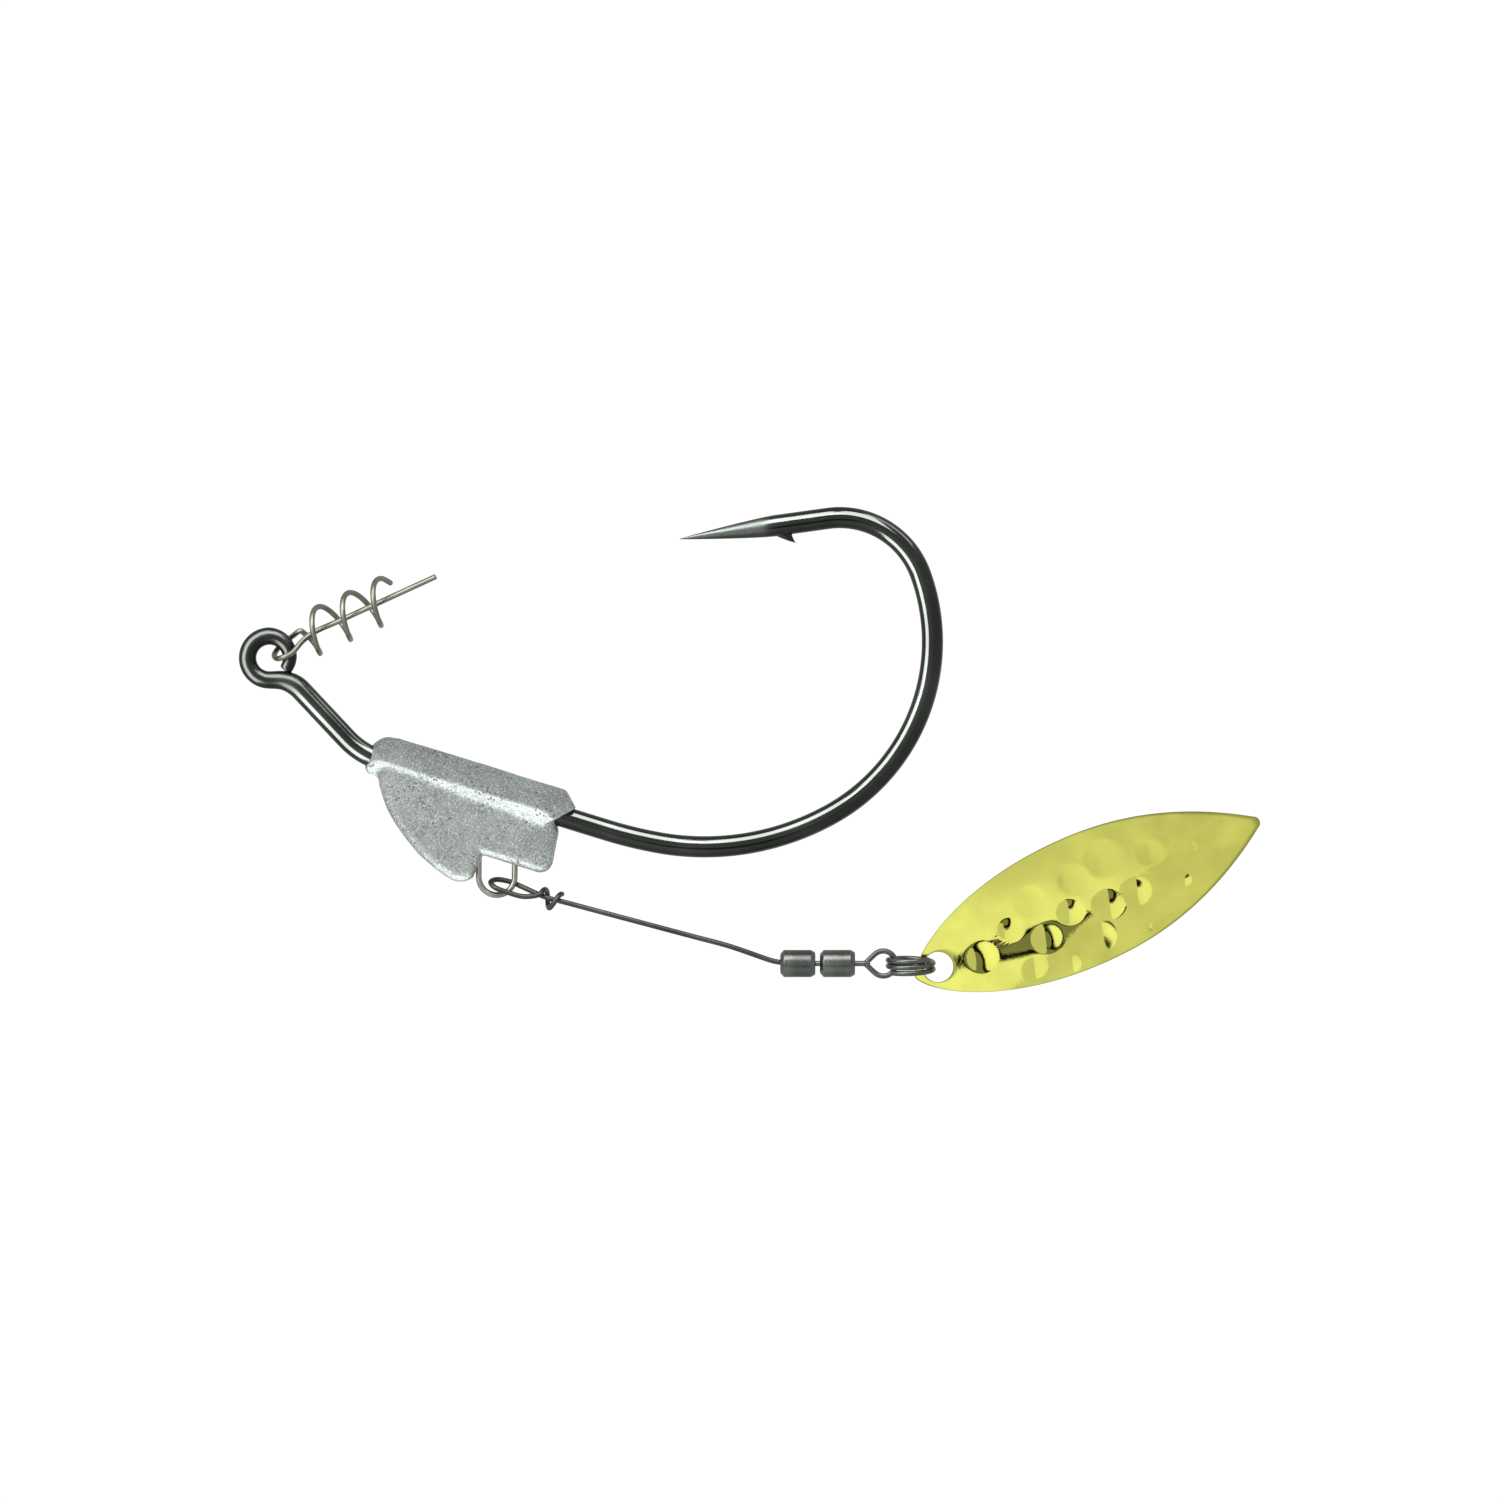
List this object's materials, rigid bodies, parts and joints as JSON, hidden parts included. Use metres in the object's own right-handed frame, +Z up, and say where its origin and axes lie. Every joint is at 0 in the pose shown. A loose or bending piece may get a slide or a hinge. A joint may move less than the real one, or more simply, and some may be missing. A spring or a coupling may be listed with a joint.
{
  "type": "weighted swimbait hook with spinner blade",
  "caption": "Wide-gap fishing hook with a cast belly weight, a screw-in bait keeper on its eye, and a hammered willow-leaf blade trailing on a wire arm, swivel and split ring.",
  "frame": {"origin": "centre of the hook eye, where the fishing line is tied", "axes": "+Z up the fishing line with the lure hanging from it, +X towards the side of the hook point, +Y across the hook"},
  "size_m": [0.0496, 0.0082, 0.1046],
  "materials": {
    "black_nickel": "black nickel plate on forged carbon steel, polished",
    "cast_lead": "bare cast lead, dull, grainy and finely pitted",
    "bright_wire": "drawn stainless wire, fairly bright",
    "keeper_wire": "drawn stainless wire, matt",
    "arm_wire": "dark drawn spring wire",
    "gunmetal": "black nickel plate on brass, satin",
    "gold_plate": "hammered brass, lemon gold plate, mirror bright"
  },
  "bodies": {
    "hook_and_weight": {"hook": "black_nickel", "belly_weight": "cast_lead", "weight_loop": "bright_wire"},
    "keeper": {"bait_keeper": "keeper_wire"},
    "arm": {"spinner_arm": "arm_wire"},
    "front_barrel": {"front_barrel": "gunmetal"},
    "centre_pin": {"centre_pin": "gunmetal"},
    "rear_barrel": {"rear_barrel": "gunmetal"},
    "swivel_eye": {"swivel_eye": "gunmetal"},
    "split_ring": {"split_ring": "gunmetal"},
    "blade": {"blade": "gold_plate"}
  },
  "joints": [
    {"name": "keeper_swing", "type": "hinge", "parent": "hook_and_weight", "child": "keeper", "pos_m": [0, 0, 0], "axis": [0, 1, 0], "range_deg": [-190, 30]},
    {"name": "arm_swing", "type": "hinge", "parent": "hook_and_weight", "child": "arm", "pos_m": [-0.02243, 0, -0.02327], "axis": [0, 1, 0], "range_deg": [-14, 120]},
    {"name": "front_barrel_spin", "type": "hinge", "parent": "arm", "child": "front_barrel", "pos_m": [-0.03128, 0, -0.0541], "axis": [0, 0, 1], "continuous": true},
    {"name": "centre_pin_spin", "type": "hinge", "parent": "front_barrel", "child": "centre_pin", "pos_m": [-0.03128, 0, -0.0561], "axis": [0, 0, 1], "continuous": true},
    {"name": "rear_barrel_spin", "type": "hinge", "parent": "centre_pin", "child": "rear_barrel", "pos_m": [-0.03128, 0, -0.0581], "axis": [0, 0, 1], "continuous": true},
    {"name": "swivel_eye_spin", "type": "hinge", "parent": "rear_barrel", "child": "swivel_eye", "pos_m": [-0.03128, 0, -0.0595], "axis": [0, 0, 1], "continuous": true},
    {"name": "split_ring_swing", "type": "hinge", "parent": "swivel_eye", "child": "split_ring", "pos_m": [-0.03128, 0, -0.06411], "axis": [1, 0, 0], "range_deg": [-60, 60]},
    {"name": "blade_swing", "type": "hinge", "parent": "split_ring", "child": "blade", "pos_m": [-0.03138, 0, -0.06795], "axis": [0, 1, 0], "range_deg": [-45, 110]}
  ]
}
